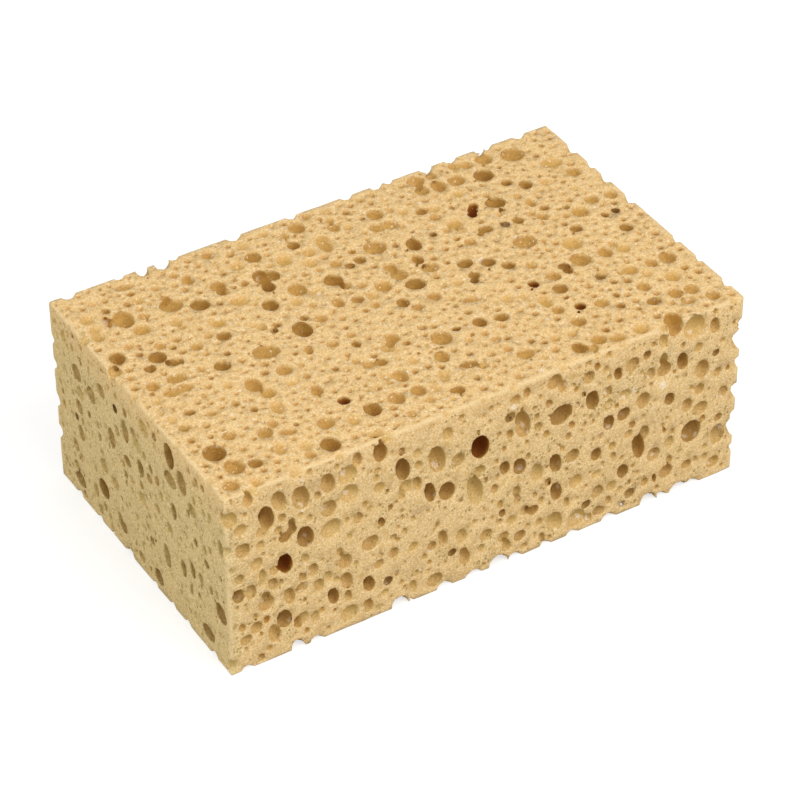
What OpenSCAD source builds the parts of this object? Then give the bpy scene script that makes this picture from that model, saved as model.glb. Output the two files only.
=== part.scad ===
// A cleaning sponge: one sawn block of large-pored foam.
// The faces are flat saw cuts through foam full of round bubbles, and each bubble that a cut meets
// stays behind as an open pore. A bubble at the meeting of two faces leaves a scallop in the edge.
// The origin is the middle of the resting face, X runs along the length and Z is up.

/* [Block] */
// Length of the block, along X
length = 200; // [120:1:260]
// Width of the block, along Y
width = 120; // [80:1:160]
// Height of the block, along Z
height = 75; // [45:1:100]

/* [Bubbles of the foam] */
// Mean distance from one bubble to the next
bubble_pitch = 9; // [8.5:0.5:16]
// Radius of the smallest bubble
bubble_r_min = 1.2; // [0.8:0.1:1.6]
// Radius of the largest bubble of the lattice
bubble_r_max = 3.4; // [2.6:0.1:3.6]
// How rare large bubbles are: 1 has all sizes alike, more has fewer large ones
bubble_skew = 1.3; // [1:0.1:4]
// How far a bubble stands off its place in the lattice, along each axis
bubble_shift = 2.5; // [0:0.1:4]
// Foam left between two bubbles, or between a bubble and a cut that misses it
bubble_wall = 0.3; // [0.2:0.05:0.6]

/* [Scallops of the edges] */
// Mean distance from one scallop to the next along an edge
scallop_pitch = 16; // [12:1:40]
// Radius of the smallest scallop
scallop_r_min = 1.6; // [1.2:0.1:2]
// Radius of the largest scallop
scallop_r_max = 3.2; // [2.2:0.1:3.4]

/* [Pores seen on the block] */
// Add the pores that this block shows on its front, top and left end to the lattice
seen_pores = true; // [true, false]

/* [Hidden] */
foam_colour = [0.86, 0.71, 0.45];
// Facets round a bubble
bubble_facets = 24;
// The lattice is turned out of line with the faces, so that no row of pores shows
lattice_turn = [23, 34, 11];
// Share of its radius that a scallop's centre stands outside each of its two faces
scallop_stand = 0.15;

// Pores of the front face: from the left end, above the base, width of the opening, depth
front_pores = [
    [95.5, 55, 7.2, 6.0], [21.5, 39, 5.8, 4.8], [181.5, 24.5, 7.4, 5.6], [65.5, 59, 6.0, 4.2],
    [15, 61.5, 6.0, 4.2], [57, 69, 5.2, 3.6], [29, 47, 6.2, 4.4], [76, 44.5, 4.6, 3.2],
    [82.5, 42, 5.6, 3.8], [4, 33, 4.4, 3.0], [39, 16.5, 4.4, 3.2], [52.5, 15.5, 4.4, 3.2],
    [20.5, 15.5, 5.6, 4.0], [78, 5, 5.4, 3.8], [105, 42, 4.0, 2.8], [111, 40, 5.0, 3.4],
    [127, 55, 7.2, 4.8], [139.5, 56, 5.6, 3.8], [176, 57.5, 4.8, 3.4], [171.5, 43, 3.8, 2.6],
    [152.5, 44.5, 4.6, 3.2], [146.5, 43.5, 4.6, 3.2], [125.5, 35, 4.8, 3.2], [142, 31.5, 4.0, 2.8],
    [126, 22.5, 4.8, 3.2], [153.5, 19, 4.4, 3.2], [159.5, 26.5, 5.4, 3.6], [161.5, 32.5, 4.4, 2.6],
    [27.5, 64, 6.6, 3.4], [37.5, 65.5, 5.6, 2.8], [78.5, 57.5, 6.8, 3.6], [86.5, 53.5, 4.8, 2.4],
    [37.5, 55, 5.6, 2.8], [6, 51.5, 4.8, 2.6], [53, 33, 5.4, 2.8], [43.5, 29.5, 4.8, 2.6],
    [22.5, 24.5, 4.4, 2.6], [44, 21, 4.6, 2.6], [16.5, 10, 4.6, 2.8], [52, 6, 4.4, 2.4],
    [81, 22, 4.2, 2.4], [89.5, 10.5, 4.6, 2.6], [111.5, 58, 6.6, 3.4], [137.5, 66.5, 4.0, 2.2],
    [155, 64.5, 4.8, 2.4], [184.5, 50.5, 5.6, 3.0], [179, 37, 4.4, 2.4], [160.5, 47, 5.2, 2.8],
    [143, 14.5, 4.6, 2.4], [166, 21, 4.8, 2.6], [193, 18.5, 5.8, 3.0], [188.5, 67.5, 4.4, 2.4],
    [8.5, 33, 4.2, 2.4], [31.5, 31.5, 4.0, 2.2], [33.5, 24, 4.0, 2.2], [10, 16.5, 4.2, 2.2],
    [45, 65.5, 6.6, 2.2], [45.5, 57.5, 6.4, 2.2], [38.5, 46, 6.8, 2.2], [93.5, 37, 7.4, 2.4],
    [11, 43.5, 4.6, 1.6], [45, 6, 6.0, 2.0], [88.5, 19.5, 4.8, 1.8], [118, 34, 5.8, 2.0],
    [126, 8.5, 6.6, 2.2], [135, 6, 6.6, 2.2], [152.5, 52.5, 4.6, 1.6],
];
// Pores of the top face: from the left end, from the front, width of the opening, depth
top_pores = [
    [57.5, 23, 3.8, 4.0], [144, 43, 3.8, 4.0], [150.5, 24.5, 3.6, 3.8], [148, 87.5, 3.2, 3.0],
    [150, 90.5, 3.8, 3.6], [68, 94.5, 6.4, 4.8], [71.5, 93.5, 4.8, 3.2], [67, 88.5, 4.6, 3.2],
    [9, 22, 7.0, 4.4], [17.5, 11, 4.2, 2.8], [33, 59.5, 5.0, 3.4], [65, 62.5, 6.6, 4.4],
    [63, 14.5, 5.6, 3.8], [42.5, 6.5, 6.2, 4.0], [78, 34, 4.0, 2.6], [101.5, 18, 4.6, 3.0],
    [117, 35, 4.6, 3.0], [124.5, 33.5, 4.4, 3.0], [137.5, 6, 5.0, 3.4], [173, 14, 4.4, 2.8],
    [189, 53.5, 4.6, 3.0], [142.5, 56.5, 4.4, 3.0], [101, 57.5, 4.4, 3.0], [42.5, 92, 6.2, 4.0],
    [62.5, 79.5, 5.6, 3.8], [87.5, 80.5, 6.0, 4.0], [5.5, 81, 5.4, 3.6], [17, 75, 5.6, 3.8],
    [12, 70.5, 4.0, 2.6], [21, 69, 4.8, 3.0], [41, 73, 4.6, 3.0], [86, 104.5, 4.2, 2.8],
    [164, 105.5, 6.6, 4.4], [134, 98.5, 4.0, 2.6], [168.5, 97.5, 4.0, 2.6], [173.5, 93, 4.6, 3.4],
    [158.5, 89.5, 6.2, 4.2], [101, 85.5, 4.0, 2.8], [121.5, 83.5, 5.6, 3.8], [147, 78, 4.4, 3.0],
    [118, 75.5, 4.2, 2.8], [110, 64, 6.2, 4.2], [130.5, 65, 5.0, 3.4], [137.5, 61.5, 4.8, 3.2],
    [174, 62, 4.0, 2.6], [11, 13, 6.4, 3.4], [5.5, 5.5, 4.8, 2.4], [27.5, 22.5, 4.8, 2.4],
    [34, 19, 4.4, 2.2], [36.5, 45.5, 5.6, 2.8], [49, 47, 5.0, 2.6], [11.5, 56, 4.4, 2.2],
    [17, 56, 4.4, 2.2], [48.5, 58.5, 7.4, 3.6], [87.5, 43, 5.2, 2.6], [52.5, 32.5, 4.4, 2.2],
    [72.5, 15.5, 5.6, 2.8], [80.5, 15, 5.0, 2.6], [79.5, 24.5, 5.2, 2.6], [46.5, 16.5, 5.2, 2.6],
    [96.5, 26, 5.0, 2.6], [73.5, 35, 4.0, 2.0], [101.5, 34.5, 6.6, 3.4], [120.5, 13, 5.2, 2.6],
    [152, 43.5, 5.0, 2.6], [165, 46.5, 6.8, 3.6], [174.5, 45.5, 5.0, 2.6], [157.5, 22.5, 4.6, 2.4],
    [174.5, 22.5, 4.6, 2.4], [181.5, 14, 4.8, 2.4], [187.5, 13, 4.8, 2.4], [183, 8.5, 4.2, 2.2],
    [191.5, 6.5, 4.6, 2.4], [191, 32, 5.8, 3.0], [184.5, 32, 4.0, 2.2], [111.5, 55, 4.4, 2.2],
    [104, 53, 4.0, 2.0], [121.5, 47, 4.4, 2.2], [17, 98.5, 7.0, 3.8], [34, 97, 7.0, 3.6],
    [74.5, 82.5, 6.2, 3.2], [17, 61.5, 5.2, 2.6], [8.5, 62, 4.4, 2.2], [46, 106.5, 4.4, 2.2],
    [92, 113, 5.6, 2.8], [179.5, 111, 7.6, 3.8], [154, 108, 5.6, 2.8], [147, 108.5, 5.4, 2.8],
    [140.5, 109, 4.8, 2.4], [141.5, 115, 5.4, 2.8], [162, 114, 4.4, 2.2], [169.5, 114, 5.4, 2.8],
    [119, 105.5, 5.4, 2.8], [103, 106.5, 4.4, 2.2], [115.5, 98.5, 4.8, 2.4], [120.5, 97.5, 4.8, 2.4],
    [192, 90.5, 4.8, 2.4], [109, 89, 7.0, 3.6], [138.5, 74.5, 4.0, 2.0], [168, 74, 4.0, 2.0],
    [188, 73.5, 4.6, 2.4], [195.5, 72.5, 4.4, 2.2], [107.5, 76.5, 4.6, 2.4], [108, 71.5, 5.4, 2.8],
    [119, 69.5, 5.2, 2.6], [154.5, 65, 7.2, 3.6], [37.5, 31.5, 5.2, 1.8], [142, 33, 5.2, 1.8],
    [168, 55.5, 6.8, 2.4], [95.5, 100, 6.6, 2.2], [189, 99.5, 6.6, 2.2], [79, 99, 5.4, 1.8],
    [55, 87, 5.8, 2.0], [88.5, 98.5, 4.8, 1.6], [64, 104.5, 4.8, 1.6], [79.5, 78, 4.6, 1.6],
];
// Pores of the left end: from the front, above the base, width of the opening, depth
left_pores = [
    [36.5, 67, 7.0, 5.0], [87, 17, 6.8, 4.8], [5.5, 23, 6.4, 4.2], [105.5, 7.5, 5.8, 3.8],
    [15, 7.5, 6.0, 4.0], [49, 5.5, 5.2, 3.4], [58, 46.5, 4.8, 3.2], [67.5, 43, 4.0, 2.6],
    [30.5, 23.5, 4.4, 3.0], [24, 27.5, 4.0, 2.6], [35.5, 44.5, 4.4, 2.8], [78.5, 45, 5.4, 2.8],
    [68, 55, 5.8, 3.0], [92, 54, 5.4, 2.8], [102.5, 56.5, 5.8, 3.0], [102, 42, 4.8, 2.4],
    [102, 30.5, 4.8, 2.4], [107, 22, 4.0, 2.0], [42, 20, 6.0, 3.0], [37, 57, 6.0, 3.0],
    [29, 61, 6.6, 3.4], [22.5, 54.5, 4.4, 2.2], [93.5, 11.5, 4.2, 2.2],
];

lo = [-length / 2, -width / 2, 0];
hi = [length / 2, width / 2, height];
// Places of the seen faces among the six: both ends, front and back, base and top
LEFT_END = 0;
FRONT = 2;
TOP = 5;
// The turn that sets a bubble's own axis along X, Y or Z
axis_turn = [[0, 90, 0], [90, 0, 0], [0, 0, 0]];

function frac(x) = x - floor(x);
// A fixed chance value between 0 and 1 for draw n of lattice cell c
function chance(c, n) = frac(43758.5453 * sin(127.1 * c.x + 311.7 * c.y + 74.7 * c.z + 53.3 * n));

function turn_x(v, a) = [v.x, v.y * cos(a) - v.z * sin(a), v.y * sin(a) + v.z * cos(a)];
function turn_y(v, a) = [v.x * cos(a) + v.z * sin(a), v.y, v.z * cos(a) - v.x * sin(a)];
function turn_z(v, a) = [v.x * cos(a) - v.y * sin(a), v.x * sin(a) + v.y * cos(a), v.z];
function turned(v) = turn_z(turn_y(turn_x(v, lattice_turn.x), lattice_turn.y), lattice_turn.z);

// A bubble is its centre, its radius and its axis: 0 for X, 1 for Y, 2 for Z
function gap(a, b) = norm([a.x - b.x, a.y - b.y, a.z - b.z]) - a[3] - b[3];
function clear_of(b, list) = len([for (g = list) if (gap(b, g) < bubble_wall) 1]) == 0;
// Of the bubbles in a list, those that run into none placed before them
function apart(list, placed) = [
    for (i = [0:1:len(list) - 1])
        let (before = [for (k = [0:1:i - 1]) list[k]])
        if (clear_of(list[i], placed) && clear_of(list[i], before)) list[i]
];

// Depth of a bubble's centre below each of the six faces, less than nothing outside the block
function depths(b) = [b.x - lo.x, hi.x - b.x, b.y - lo.y, hi.y - b.y, b.z - lo.z, hi.z - b.z];
// The faces that a bubble comes through, and whether it stays clear of all the others
function opened(b) = [for (i = [0:5]) if (abs(depths(b)[i]) < b[3] - bubble_wall) i];
function inside_of(b, face) =
    min([for (i = [0:5]) i == face || depths(b)[i] > b[3] + bubble_wall ? 1 : 0]) == 1;

// Radius of the bubble that leaves a pore of a given width and depth
function bubble_r(w, depth) = (w * w / 4 + depth * depth) / (2 * depth);
function front_bubble(p) =
    let (r = bubble_r(p[2], p[3])) [lo.x + p[0], lo.y + p[3] - r, lo.z + p[1], r, 1];
function top_bubble(p) =
    let (r = bubble_r(p[2], p[3])) [lo.x + p[0], lo.y + p[1], hi.z - p[3] + r, r, 2];
function left_bubble(p) =
    let (r = bubble_r(p[2], p[3])) [lo.x + p[3] - r, lo.y + p[0], lo.z + p[1], r, 0];
seen = !seen_pores ? [] : concat(
    [for (p = front_pores) if (inside_of(front_bubble(p), FRONT)) front_bubble(p)],
    [for (p = top_pores) if (inside_of(top_bubble(p), TOP)) top_bubble(p)],
    [for (p = left_pores) if (inside_of(left_bubble(p), LEFT_END)) left_bubble(p)]
);

// Scallops of the four edges along each axis, with the corners left whole
function scallop_count(axis) = floor((hi[axis] - lo[axis]) / scallop_pitch);
function scallop(axis, side, n) =
    let (
        c = [axis + 3, side, n],
        r = scallop_r_min + (scallop_r_max - scallop_r_min) * chance(c, 1),
        end = scallop_r_max + bubble_wall,
        run = hi[axis] - lo[axis] - 2 * end,
        along = lo[axis] + end + run * (n + chance(c, 2)) / scallop_count(axis),
        u = (axis + 1) % 3,
        v = (axis + 2) % 3,
        out = scallop_stand * r,
        at_u = side % 2 == 0 ? lo[u] - out : hi[u] + out,
        at_v = side < 2 ? lo[v] - out : hi[v] + out
    )
    [for (k = [0:2]) k == axis ? along : k == u ? at_u : at_v, r, axis];
scallops = apart([
    for (axis = [0:2], side = [0:3], n = [0:scallop_count(axis) - 1])
        scallop(axis, side, n)
], seen);

function shift(c, n) = bubble_shift * (2 * chance(c, n) - 1);
function lattice_bubble(c) = concat(
    turned(bubble_pitch * c) + [shift(c, 1), shift(c, 2), height / 2 + shift(c, 3)],
    bubble_r_min + (bubble_r_max - bubble_r_min) * pow(chance(c, 4), bubble_skew)
);
reach = ceil(norm([length, width, height]) / 2 / bubble_pitch);
pores = apart([
    for (i = [-reach:reach], j = [-reach:reach], k = [-reach:reach])
        let (b = lattice_bubble([i, j, k]), faces = opened(b))
        if (len(faces) == 1 && inside_of(b, faces[0]))
            concat(b, floor(faces[0] / 2))
], concat(seen, scallops));

module block() {
    translate(lo)
        cube(hi - lo);
}

module bubbles(list) {
    for (b = list)
        translate([b.x, b.y, b.z])
            rotate(axis_turn[b[4]])
                sphere(b[3], $fn = bubble_facets);
}

module sponge() {
    color(foam_colour)
        difference() {
            block();
            bubbles(pores);
            bubbles(scallops);
            bubbles(seen);
        }
}

sponge();
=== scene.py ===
import logging
import math
from dataclasses import dataclass, field
from enum import Enum

import bpy
import numpy as np
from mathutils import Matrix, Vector


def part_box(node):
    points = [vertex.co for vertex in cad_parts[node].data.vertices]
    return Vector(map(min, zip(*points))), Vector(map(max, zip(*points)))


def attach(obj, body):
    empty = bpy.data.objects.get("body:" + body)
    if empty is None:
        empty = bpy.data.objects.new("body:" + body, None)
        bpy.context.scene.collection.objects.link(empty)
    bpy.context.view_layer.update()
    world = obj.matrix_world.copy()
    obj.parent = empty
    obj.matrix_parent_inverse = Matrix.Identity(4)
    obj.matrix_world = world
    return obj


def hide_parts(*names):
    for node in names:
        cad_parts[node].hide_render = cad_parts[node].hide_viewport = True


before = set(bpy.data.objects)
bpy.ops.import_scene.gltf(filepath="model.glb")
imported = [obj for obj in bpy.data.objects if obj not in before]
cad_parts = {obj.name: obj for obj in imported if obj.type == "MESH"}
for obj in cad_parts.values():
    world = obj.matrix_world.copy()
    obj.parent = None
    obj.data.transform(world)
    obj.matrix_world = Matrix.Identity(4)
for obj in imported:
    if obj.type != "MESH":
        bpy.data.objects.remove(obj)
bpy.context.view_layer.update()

LOG = logging.getLogger("sponge")
MM = 0.001
NODE = "sponge"
BODY = "root"
REACH = "reach"
PLUG = "plug"
# Attribute that holds how much painted shade a pore gets inside.
GLOOM = "gloom"

Socket = bpy.types.NodeSocket
Node = bpy.types.Node
Reading = tuple[float, float, float, float]


class Bowl(Enum):
    """How far a pore goes in: sink of its middle, depth as a share of its half width, and the painted shade inside."""

    DEEP = (0.60, 1.90, 1.00)
    DARK = (0.50, 1.35, 0.46)
    MIDDLING = (0.38, 1.00, 0.12)
    SHALLOW = (0.05, 0.80, 0.00)

    @property
    def sink(self) -> float:
        """Depth of the pore's middle under the face, as a share of the pore's own depth."""
        return self.value[0]

    @property
    def depth(self) -> float:
        """Half the pore's depth as a share of half its width."""
        return self.value[1]

    @property
    def gloom(self) -> float:
        """How much painted shade the pore gets inside, from 0 to 1."""
        return self.value[2]


class Side(Enum):
    """A side of the block that the photograph shows, with the directions its readings run in."""

    FRONT = ((1, 0, 0), (0, 0, 1), (0, -1, 0))
    TOP = ((1, 0, 0), (0, 1, 0), (0, 0, 1))
    LEFT = ((0, -1, 0), (0, 0, 1), (-1, 0, 0))

    def start(self, low: Vector, high: Vector) -> Vector:
        """Corner of the side that its readings are taken from.

        Args:
            low: Lowest corner of the block.
            high: Highest corner of the block.

        Returns:
            The corner, in metres.
        """
        if self is Side.TOP:
            return Vector((low.x, low.y, high.z))
        if self is Side.LEFT:
            return Vector((low.x, high.y, low.z))
        return low.copy()

    def axes(self) -> tuple[Vector, Vector, Vector]:
        """Directions along the side, up it and out of it."""
        return tuple(Vector(axis) for axis in self.value)


# Pores that the photograph shows, in millimetres: along the side, up it, width and height. The front and
# the top are read from the left end, and the left end is read from its back edge.
SEEN_PORES: dict[Side, dict[Bowl, tuple[Reading, ...]]] = {
    Side.FRONT: {
        Bowl.DEEP: (
            (95.5, 55, 6.4, 9), (21.5, 39, 4.6, 8),
        ),
        Bowl.DARK: (
            (181.5, 24.5, 7.3, 8.6),
            (65.5, 59, 4.8, 9), (15, 61.5, 5, 9), (57, 69.5, 4.5, 7), (21.5, 50, 3.8, 3.8),
            (29, 47, 5.4, 8.6), (57.5, 40, 2.2, 4), (76, 44.5, 3.5, 8.3), (82.5, 42, 5.4, 7),
            (4, 33, 4, 5.7), (26, 25.5, 2, 3), (39, 16.5, 3.5, 6.7), (52.5, 15.5, 3.8, 6.4),
            (20.5, 15.5, 4.8, 7.6), (25.5, 11.5, 2.6, 4.8), (105, 42, 3.5, 5.4),
            (111, 40, 4.5, 6.4), (127, 55, 8, 7.3), (139.5, 56, 4.8, 7.6), (149.5, 63, 2.9, 4.8),
            (161, 66, 2.9, 3.5), (172, 73, 5, 6.4), (176, 57.5, 4, 7), (171.5, 43, 3.5, 5),
            (152.5, 44.5, 4.8, 4.8), (146.5, 43.5, 4, 6), (125.5, 35, 4, 7.6), (142, 31.5, 3.8, 5),
            (126, 22.5, 4, 7.6), (104.5, 22.5, 2.2, 3.2), (117, 18, 3.8, 3.8), (153.5, 19, 4, 5.7),
            (159.5, 27.5, 4.5, 10), (167, 10, 1.6, 3.8),
        ),
        Bowl.MIDDLING: (
            (78, 5, 5.6, 5.2), (27.5, 64, 5.4, 9.5), (37.5, 65.5, 4.8, 8), (19.5, 66.5, 4.5, 7.5), (2, 66, 4.4, 6.4),
            (48.5, 70.5, 3.2, 5.7), (78.5, 57.5, 5.7, 11), (86.5, 53.5, 5, 5), (56, 62.5, 2.2, 2.2),
            (33.5, 62, 2.2, 3.2), (37.5, 55, 5.4, 6.4), (24, 55, 2.5, 3.8), (6, 51.5, 4.8, 5.7),
            (48.5, 46, 3.2, 4.8), (71, 50.5, 3.2, 5.7), (65, 48, 2.5, 3.8), (4.5, 40, 2.9, 3.8),
            (17, 38, 2.5, 3.8), (8.5, 33, 3.5, 6), (16.5, 32.5, 3.2, 5.4), (13.5, 28, 3.5, 4.5),
            (31.5, 31.5, 3.5, 5), (43.5, 29.5, 4.8, 5.7), (53, 33, 5.7, 5.7), (22.5, 24.5, 3.5, 7),
            (33.5, 24, 3.5, 5), (62, 24.5, 3.5, 4), (44, 21, 3.8, 7), (44.5, 14, 2.6, 4.5),
            (10, 16.5, 3.8, 4.8), (6, 13, 4, 4), (16.5, 11, 3.8, 7.6), (52, 6, 3.8, 5.7),
            (81, 22, 3.2, 7), (89.5, 10.5, 3.8, 7.6), (93.5, 23.5, 2, 2), (65, 10, 1.6, 1.6),
            (8.5, 71.5, 3.2, 5), (111.5, 58, 5.4, 11), (127, 67, 3.2, 4.8), (137.5, 66.5, 3.8, 4.8),
            (145.5, 57, 3.2, 4.5), (155, 64.5, 5, 5), (163, 57.5, 3.2, 5), (168, 61.5, 3.2, 4.5),
            (188.5, 67.5, 3.5, 6.4), (184.5, 50.5, 5, 7.6), (191, 46.5, 3.2, 3.8), (184, 42, 3.5, 4.5),
            (179, 37, 4, 5.4), (194, 36.5, 3.8, 4.5), (160.5, 47, 5, 6.4), (110, 29.5, 2.9, 4.5),
            (110.5, 25.5, 2.5, 3.8), (113.5, 19.5, 3.2, 3.8), (130.5, 15.5, 2.2, 4.5), (143, 14.5, 4.8, 5),
            (161.5, 32.5, 3.8, 5.7), (166, 21, 4.8, 5.4), (193, 18.5, 5.4, 7.6), (173, 15.5, 2.5, 3.8),
            (140, 4, 2.5, 3.8), (145, 5, 3.2, 3.2), (106.5, 7, 3.2, 5), (121, 4, 2.2, 4.5),
            (113.5, 3.5, 2.5, 2.5), (154, 4, 2.5, 2.5), (25.5, 0, 4.5, 7.6), (64.5, 0, 6, 7.6),
            (200, 57, 7, 8), (200, 35, 5, 6), (200, 19, 6, 8), (199.5, 47, 3, 4),
            (93, 0, 6, 3.4), (103.5, 0, 7, 8), (165, 0, 6, 8), (177.5, 0, 7, 6),
        ),
        Bowl.SHALLOW: (
            (45, 65.5, 6.4, 7.5), (82.5, 66, 4, 5.7), (71, 63, 3.2, 3.8), (45.5, 57.5, 6.4, 7),
            (12.5, 50.5, 3, 4), (38.5, 46, 7, 7), (93.5, 37, 5.7, 13), (11, 43.5, 4.5, 5),
            (13, 37.5, 2.9, 5.7), (28.5, 37.5, 3, 4.5), (37, 26, 3, 4.5), (27.5, 12.5, 4, 5),
            (32, 10.5, 3.2, 5), (45, 6, 6.4, 6.4), (88.5, 19.5, 3.8, 7), (58.5, 8.5, 3, 3),
            (69.5, 6, 3.2, 5.7), (144.5, 66.5, 2.2, 3.8), (146, 62.5, 2.2, 3.2), (167.5, 69, 3.5, 6.4),
            (180, 70, 8.3, 9.5), (152.5, 52.5, 4.8, 4.8), (146, 51.5, 4, 3.2), (118, 34, 4.8, 8.3),
            (142.5, 22.5, 4, 3.2), (172.5, 23.5, 3.8, 5), (126, 8.5, 6, 9), (135, 6, 7, 7.6),
            (152.5, 11, 3, 3),
        ),
    },
    Side.TOP: {
        Bowl.DEEP: (
            (57.5, 23, 4, 3.8), (144, 43, 3.5, 4.1), (150.5, 24.5, 3.5, 4), (108.5, 36, 2.9, 2.2),
            (148, 87.5, 3, 3.6), (149.5, 89.5, 3, 3.8), (151, 91.8, 3, 3.4),
        ),
        Bowl.DARK: (
            (68, 94.5, 6, 8),
            (71.5, 93.5, 4.5, 5.5), (67, 88.5, 4.5, 5), (9, 22, 7, 7.6), (17.5, 11, 4.5, 4),
            (30.5, 34.5, 2.5, 2.9), (12, 44, 4, 2.9), (33, 59.5, 5.4, 5), (65, 62.5, 6, 8),
            (76, 46.5, 2.9, 4), (63, 14.5, 5.4, 6.4), (42.5, 6.5, 6, 7), (92, 8.5, 3.8, 3.8),
            (93.5, 21.5, 2.2, 2.2), (78, 34, 4.5, 3.5), (101.5, 18, 5.7, 3.8), (117, 35, 4.5, 5),
            (124.5, 33.5, 5, 4), (105, 22.5, 2.5, 2.5), (126, 17.5, 2.5, 2.5), (137.5, 6, 4.8, 5.7),
            (135, 29, 2.2, 2.2), (164.5, 44.5, 3.5, 2.5), (162, 18, 3.2, 3.2), (164, 23.5, 2.2, 2.9),
            (173, 14, 4.8, 4), (173, 3, 5, 6.4), (172.5, 33, 2.2, 2.2), (189, 53.5, 4.8, 4.5),
            (142.5, 56.5, 4.5, 4.5), (129.5, 58, 3.8, 3.8), (101, 57.5, 4, 5), (124.5, 51, 1.8, 1.8),
            (14, 105.5, 3, 3), (22, 105, 2.7, 2.7), (12, 100, 2.5, 6), (42.5, 92, 6.7, 6),
            (62.5, 79.5, 5.4, 6), (87.5, 80.5, 6, 6.4), (5.5, 81, 5, 6.4), (17, 74.5, 5.4, 6),
            (12, 70.5, 4, 4), (20.5, 69.5, 6, 4), (41, 73, 4.8, 4.5), (59, 69, 3, 3),
            (34, 102, 3.5, 2), (71, 108, 2.5, 2.5), (86, 104.5, 4.3, 4.3), (164, 105.5, 6.7, 7),
            (134, 98.5, 4, 4), (168.5, 97.5, 4, 4), (173.5, 93, 4.5, 5), (158.5, 89.5, 7, 6),
            (158, 84.5, 2.2, 2.2), (101, 85.5, 4, 4), (121.5, 83.5, 4.8, 7), (147, 78, 5, 4),
            (144, 76.5, 2, 2), (159.5, 76.5, 3.7, 3.7), (171.5, 78, 3.2, 3.2), (178, 74.5, 2.5, 2.5),
            (118, 75.5, 3.8, 5), (110, 64, 6.7, 6), (130.5, 65, 5.4, 5), (172, 66.5, 2.5, 2.5),
            (174, 62, 4, 4), (187, 63.5, 2.5, 3.5), (137.5, 61.5, 5, 5), (186.5, 106, 2.5, 2.5),
        ),
        Bowl.MIDDLING: (
            (11, 13, 6.4, 7), (5.5, 5.5, 5.4, 4.8), (27.5, 22.5, 5, 5), (34, 19, 5.7, 3.5),
            (32, 25, 3.2, 3.8), (7, 38, 4, 3.5), (18, 40, 2.9, 2.9), (36.5, 45.5, 5, 7),
            (49, 47, 5.4, 4.8), (55, 46.5, 2.2, 2.2), (12, 56, 5, 4), (17, 56, 5, 4),
            (48.5, 58.5, 9, 7), (61, 52, 2.9, 4.5), (69.5, 50.5, 4.5, 3.2), (77, 51.5, 3.2, 3.2),
            (87.5, 43, 5, 5.7), (52.5, 32.5, 4, 5), (72.5, 15.5, 5.4, 6), (80.5, 15, 4.8, 5.4),
            (79.5, 24.5, 4.8, 6), (46.5, 16.5, 5.5, 5.5), (72.5, 6, 3.2, 3.2), (81.5, 9, 3, 3),
            (91, 15.5, 2.9, 2.9), (96.5, 26, 4.5, 6), (73.5, 35, 4.5, 3.8), (71, 38.5, 2.5, 3.2),
            (66.5, 36.5, 2.7, 2.7), (34.5, 5.5, 3.8, 3.8), (17, 27, 4.5, 3.8), (101.5, 34.5, 7, 7),
            (105.5, 15, 3.8, 3.2), (115, 29, 2.7, 2.7), (122, 29.5, 2.7, 2.7), (116.5, 24.5, 3.2, 3.2),
            (120.5, 13, 5.7, 5), (117, 18, 3, 3), (112.5, 4, 3.5, 3.2), (141, 3.5, 3.8, 3.8),
            (144.5, 6.5, 4, 4), (151, 4, 5.7, 3.8), (139.5, 13.5, 3, 3), (152, 43.5, 5, 5.4),
            (158, 43.5, 3.5, 3.5), (165, 46.5, 7, 7), (174.5, 45.5, 4.8, 5.7), (157.5, 22.5, 5, 4.5),
            (174.5, 22.5, 4.5, 4.8), (181.5, 14, 5, 5), (187.5, 13, 5, 5), (183, 8.5, 5, 3.8),
            (191.5, 6.5, 4.8, 4.8), (191, 32, 5.7, 6.4), (184.5, 32, 3.8, 4.5), (179.5, 48, 3, 3),
            (149, 52.5, 3.8, 3.8), (111.5, 55, 4.5, 4.5), (104, 53, 4, 4), (121.5, 47, 7, 3),
            (17, 98.5, 6.4, 9), (23.5, 96.5, 3.8, 3.2), (34, 97, 7.6, 7), (52.5, 94.5, 4, 4),
            (74.5, 82.5, 6, 7), (89.5, 75.5, 3.8, 3.8), (94, 73, 3.8, 3.2), (11.5, 84.5, 3, 3),
            (20.5, 79.5, 3.7, 3.7), (1.5, 75.5, 4.5, 5.7), (30.5, 73, 4, 4), (31.5, 84.5, 2.7, 2.7),
            (54, 70.5, 3.2, 3.2), (73, 64.5, 4, 4), (74.5, 72, 2.7, 2.7), (82.5, 69, 3.8, 5),
            (92.5, 61.5, 3.2, 3.2), (17, 61.5, 7, 4.5), (8.5, 62, 4.5, 4.5), (46, 106.5, 4, 5.4),
            (43, 111, 3.2, 3.2), (34, 108, 2.9, 2.9), (25.5, 114, 6.4, 3.2), (86, 111, 3.2, 3.2),
            (92, 113, 5.4, 6.4), (97.5, 117, 3.8, 3.8), (93, 88, 3.8, 3.8), (86.5, 88, 2.6, 2.6),
            (179.5, 111, 8.3, 7.6), (154, 108, 6, 6), (147, 108.5, 4.8, 7), (140.5, 109, 5, 5),
            (141.5, 115, 6, 6), (148, 115, 4, 4), (158, 116, 3.8, 3.8), (162, 114, 4.5, 4.5),
            (169.5, 114, 6, 6), (119, 105.5, 5.7, 5.7), (125, 105, 3, 3), (103, 106.5, 4, 4.8),
            (115.5, 98.5, 5, 5), (120.5, 97.5, 5, 5), (136, 93, 3.8, 3.8), (123.5, 94.5, 2.5, 2.5),
            (192, 90.5, 5, 5), (167, 88.5, 3, 3), (169, 83, 3, 5), (109, 89, 7.6, 7),
            (131.5, 89, 3, 2), (135.5, 84.5, 2.9, 2.9), (138.5, 74.5, 4, 4), (165.5, 77.5, 2.9, 2.9),
            (168, 74, 4, 4), (188, 73.5, 4.8, 4.8), (195.5, 72.5, 4.5, 4.5), (107.5, 76.5, 4.5, 5),
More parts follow.
